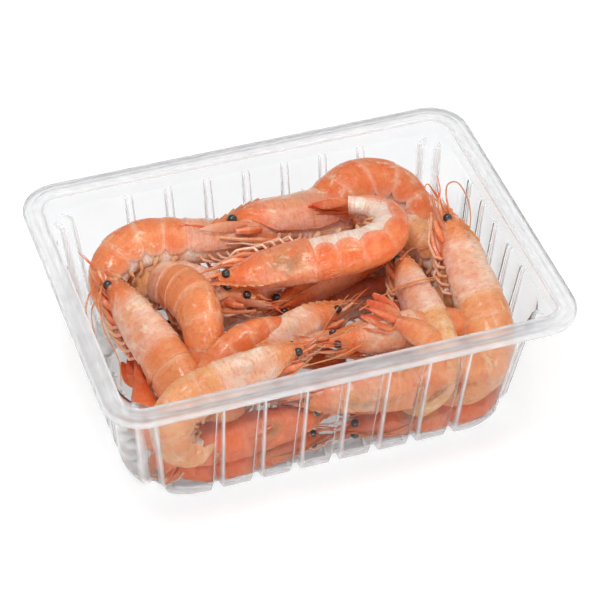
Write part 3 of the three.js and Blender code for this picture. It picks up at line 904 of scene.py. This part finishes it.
def flow_noise(tree, scale, detail, stretch=(1, 1, 1), roughness=0.5):
    """Noise in millimetres along and around the body, so that its streaks follow the form"""
    place = add_node(tree, "ShaderNodeAttribute", attribute_name="flow")
    size = add_node(tree, "ShaderNodeVectorMath", operation="MULTIPLY")
    size.inputs[1].default_value = stretch
    tree.links.new(place.outputs["Vector"], size.inputs[0])
    node = add_node(tree, "ShaderNodeTexNoise", Scale=scale, Detail=detail, Roughness=roughness)
    tree.links.new(size.outputs[0], node.inputs["Vector"])
    return node.outputs["Fac"]


def prawn_material(name, speckle, gloss, depth):
    """Cooked shell: the shade attribute, with mottling, streaks, fine red dots, pale patches of partly
    painted sheen and a wet film
    """
    material, tree, shader = node_material(name)
    paint = add_node(tree, "ShaderNodeAttribute", attribute_name="shade")
    # The alpha is the pale bloom, lowered as painted shade on prawns deep in the heap
    bloom_and_painted_shade = paint.outputs["Alpha"]
    cloud = combine(tree, ramp(tree, flow_noise(tree, 0.16, 4), 0.42, 0.62), bloom_and_painted_shade)
    color = blend_color(tree, combine(tree, cloud, 0.45), paint.outputs["Color"], PEACH)
    dull = ramp(tree, noise(tree, 70, 4), 0.48, 0.72)
    color = blend_color(tree, combine(tree, dull, 0.3), color, RUST)
    streaks = ramp(tree, flow_noise(tree, 0.9, 4, (1, 0.3, 0.3), 0.6), 0.48, 0.7)
    color = blend_color(tree, combine(tree, streaks, 0.42), color, STREAK)
    # Cream patches: partly real pale shell, partly a painted sheen of broken highlights
    veil_and_sheen = combine(
        tree, ramp(tree, flow_noise(tree, 0.35, 5, (0.5, 1, 1), 0.65), 0.54, 0.68),
        ramp(tree, noise(tree, 50, 2), 0.42, 0.62),
    )
    color = blend_color(tree, combine(tree, combine(tree, veil_and_sheen, bloom_and_painted_shade), 0.7), color, CREAM)
    dots = ramp(tree, noise(tree, 1500, 2), 0.58, 0.74)
    color = blend_color(tree, combine(tree, dots, speckle), color, DOT)
    tree.links.new(color, shader.inputs["Base Color"])
    rough = ramp(tree, noise(tree, 200, 4), 0.3, 0.7, gloss - 0.1, gloss + 0.12)
    tree.links.new(rough, shader.inputs["Roughness"])
    set_inputs(shader, {
        "Subsurface Weight": 0.35, "Subsurface Radius": (1.0, 0.36, 0.14), "Subsurface Scale": 0.0026,
        "Coat Weight": 0.3, "Coat Roughness": 0.12, "Specular IOR Level": 0.25,
    })
    swell = combine(tree, noise(tree, 150, 4, 0.55), 2.6)
    grain = combine(tree, noise(tree, 1400, 3), 0.22)
    wrinkle = combine(tree, flow_noise(tree, 0.6, 4, (1, 0.35, 0.35), 0.6), 0.8)
    relief = combine(tree, combine(tree, swell, wrinkle, "ADD"), grain, "ADD")
    pimple = add_node(tree, "ShaderNodeBump", Strength=depth, Distance=0.0012)
    tree.links.new(relief, pimple.inputs["Height"])
    tree.links.new(pimple.outputs["Normal"], shader.inputs["Normal"])
    return material


def eye_material():
    """Black, glossy and faintly grained"""
    material, tree, shader = node_material("prawn_eye")
    shade = add_node(tree, "ShaderNodeAttribute", attribute_name="shade").outputs["Color"]
    grain = ramp(tree, noise(tree, 2200, 2), 0.45, 0.75)
    color = blend_color(tree, combine(tree, grain, 0.25), shade, EYE_GRAIN)
    tree.links.new(color, shader.inputs["Base Color"])
    set_inputs(shader, {"Roughness": 0.3, "Coat Weight": 1.0, "Coat Roughness": 0.2})
    return material


def tray_material():
    """Thin clear film that turns whiter where it is stretched or folded"""
    material, tree, shader = node_material("clear_film")
    cloud = ramp(tree, noise(tree, 60, 3), 0.3, 0.7)
    color = blend_color(tree, cloud, FILM_DARK, FILM_LIGHT)
    tree.links.new(color, shader.inputs["Base Color"])
    haze = add_node(tree, "ShaderNodeAttribute", attribute_name="shade").outputs["Fac"]
    uneven = ramp(tree, noise(tree, 120, 3), 0.3, 0.7, 0.85, 1.15)
    clear = combine(tree, 1.0, combine(tree, haze, uneven), "SUBTRACT")
    tree.links.new(clear, shader.inputs["Transmission Weight"])
    set_inputs(shader, {
        "Roughness": 0.02, "IOR": 1.14,
        "Subsurface Weight": 1.0, "Subsurface Radius": (1.0, 1.0, 1.0), "Subsurface Scale": 0.003,
    })
    return material


shell_material = prawn_material("prawn_shell", 0.35, 0.3, 0.55)
limb_material = prawn_material("prawn_limb", 0.2, 0.38, 0.25)
eye_ball_material = eye_material()
film_material = tray_material()


def build_prawn(prawn):
    heap = Heap(Spine(prawn))
    add_body(heap, prawn)
    add_head(heap, prawn)
    add_antennae(heap, prawn)
    add_swimmerets(heap, prawn)
    add_tail(heap, prawn)
    points = keep_inside(np.concatenate(heap.points)) * MM
    # Prawns that lie in shade deep in the heap get less pale bloom, as painted shade
    bloom_and_painted_shade = 1 - 0.75 * smooth(1.3, 1.8, prawn.tone)
    piece = mesh_object(
        f"prawn_{prawn.number:02d}_body", points, heap.faces,
        [shell_material, limb_material, eye_ball_material], heap.slots,
        np.concatenate(heap.shades), np.concatenate(heap.flows), bloom_and_painted_shade=bloom_and_painted_shade,
    )
    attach(piece, "root")
    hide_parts(f"prawn_{prawn.number:02d}")


for row in PRAWNS:
    build_prawn(row)


def rim(grow, z, haze):
    """A level around the rim, moved outwards"""
    return level(RIM_LENGTH + grow, RIM_WIDTH + grow, RIM_RADIUS + grow, z, haze=haze)


def build_tray():
    outer, inner = skin(0, 0), skin(FILM, FILM)
    under = HEIGHT - FILM
    foot = HEIGHT - SKIRT
    rows = [
        outer["panel_middle"], outer["panel"], outer["ring_inner"], outer["ring_outer"],
        outer["bend_middle"], outer["bend_top"], outer["wall_foot"],
        outer["wall_top"], outer["ledge"], outer["band_foot"],
        rim(0, under - FOLD, BAND_HAZE), rim(0, under, FOLD_HAZE), rim(FOLD, under, FLANGE_HAZE),
        rim(STEP_START, under, STEP_HAZE), rim(STEP_END, under - DROP, STEP_HAZE),
        rim(FLANGE - FILM - FOLD, under - DROP, FLANGE_HAZE), rim(FLANGE - FILM, under - DROP, SKIRT_HAZE),
        rim(FLANGE - FILM, foot, SKIRT_HAZE), rim(FLANGE, foot, SKIRT_HAZE),
        rim(FLANGE, HEIGHT - DROP, SKIRT_HAZE), rim(FLANGE - FOLD, HEIGHT - DROP, FLANGE_HAZE),
        rim(STEP_END, HEIGHT - DROP, STEP_HAZE), rim(STEP_START, HEIGHT, STEP_HAZE),
        rim(FOLD, HEIGHT, FLANGE_HAZE), rim(-FILM, HEIGHT, FOLD_HAZE), rim(-FILM, HEIGHT - FOLD, BAND_HAZE),
        inner["band_foot"], inner["ledge"], inner["wall_top"], inner["wall_foot"], inner["bend_top"],
        inner["bend_middle"], inner["ring_outer"], inner["panel"], inner["panel_middle"],
    ]
    rings = np.array([ring(row) for row in rounded(rows)])
    ends = [[0, 0, rings[0, 0, 2], WALL_HAZE], [0, 0, rings[-1, 0, 2], WALL_HAZE]]
    quads, caps = loft_faces(len(rings), rings.shape[1])
    points = np.concatenate([rings.reshape(-1, 4), ends])
    shades = np.repeat(points[:, 3:], 3, axis=1)
    piece = mesh_object(
        "tray_film", points[:, :3] * MM, quads + caps, [film_material], shades=shades, sharp=60,
    )
    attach(piece, "root")
    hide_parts("tray")


build_tray()


# The studio, in metres: a bright floor, a pale dome, a low lamp in front and two lights above
FLOOR_SIZE, FLOOR_DARK, FLOOR_LIGHT, FLOOR_GLOW = 3.0, (0.72, 0.72, 0.72), (0.74, 0.74, 0.74), 0.42
DOME_LOW, DOME_TOP, FRONT_LAMP = 0.47, 0.44, 2.1
# Where the light of the lamp and the dome fades, along the axes of the view direction
LAMP_BACK, LAMP_RISE, DOME_RISE = (-0.9, -0.2), (0.3, 0.6), (0.0, 0.8)
LIGHTS = [("key", "SUN", (0.4, 0.1, 1.2), 0.52, 0.5), ("glint", "AREA", (-0.3, -0.2, 1.1), 4.5, 0.3)]
LIGHT_TARGET = Vector((0, 0, 0.03))


def add_floor():
    material, tree, shader = node_material("floor")
    color = blend_color(tree, ramp(tree, noise(tree, 3, 2), 0.3, 0.7), FLOOR_DARK, FLOOR_LIGHT)
    tree.links.new(color, shader.inputs["Base Color"])
    set_inputs(shader, {
        "Roughness": 0.6, "Emission Color": (1, 1, 1, 1), "Emission Strength": FLOOR_GLOW,
    })
    corners = [(x * FLOOR_SIZE, y * FLOOR_SIZE, 0) for x, y in ((-1, -1), (1, -1), (1, 1), (-1, 1))]
    floor = mesh_object("floor", corners, [(0, 1, 2, 3)], [material])


def add_light(name, kind, place, power, size):
    data = bpy.data.lights.new(name, kind)
    data.energy = power
    if kind == "SUN":
        data.angle = size
    else:
        data.shape = "DISK"
        data.size = size
    light = bpy.data.objects.new(name, data)
    facing = (LIGHT_TARGET - Vector(place)).to_track_quat("-Z", "Y").to_matrix().to_4x4()
    light.matrix_world = Matrix.Translation(Vector(place)) @ facing
    scene.collection.objects.link(light)


def add_world():
    """A pale dome, with a low, wide lamp in front that lights what lies behind the front wall"""
    world = bpy.data.worlds.new("studio")
    world.use_nodes = True
    sky = world.node_tree
    way = add_node(sky, "ShaderNodeTexCoord")
    axes = add_node(sky, "ShaderNodeSeparateXYZ")
    sky.links.new(way.outputs["Generated"], axes.inputs[0])
    background = sky.nodes["Background"]
    background.inputs["Color"].default_value = (1, 1, 1, 1)
    front = combine(
        sky, ramp(sky, axes.outputs["Y"], *LAMP_BACK, FRONT_LAMP, 0.0),
        ramp(sky, axes.outputs["Z"], *LAMP_RISE, 1.0, 0.0),
    )
    dome = ramp(sky, axes.outputs["Z"], *DOME_RISE, DOME_LOW, DOME_TOP)
    sky.links.new(combine(sky, dome, front, "ADD"), background.inputs["Strength"])
    scene.world = world


add_floor()
add_world()
for light in LIGHTS:
    add_light(*light)
scene.view_settings.view_transform = "Standard"
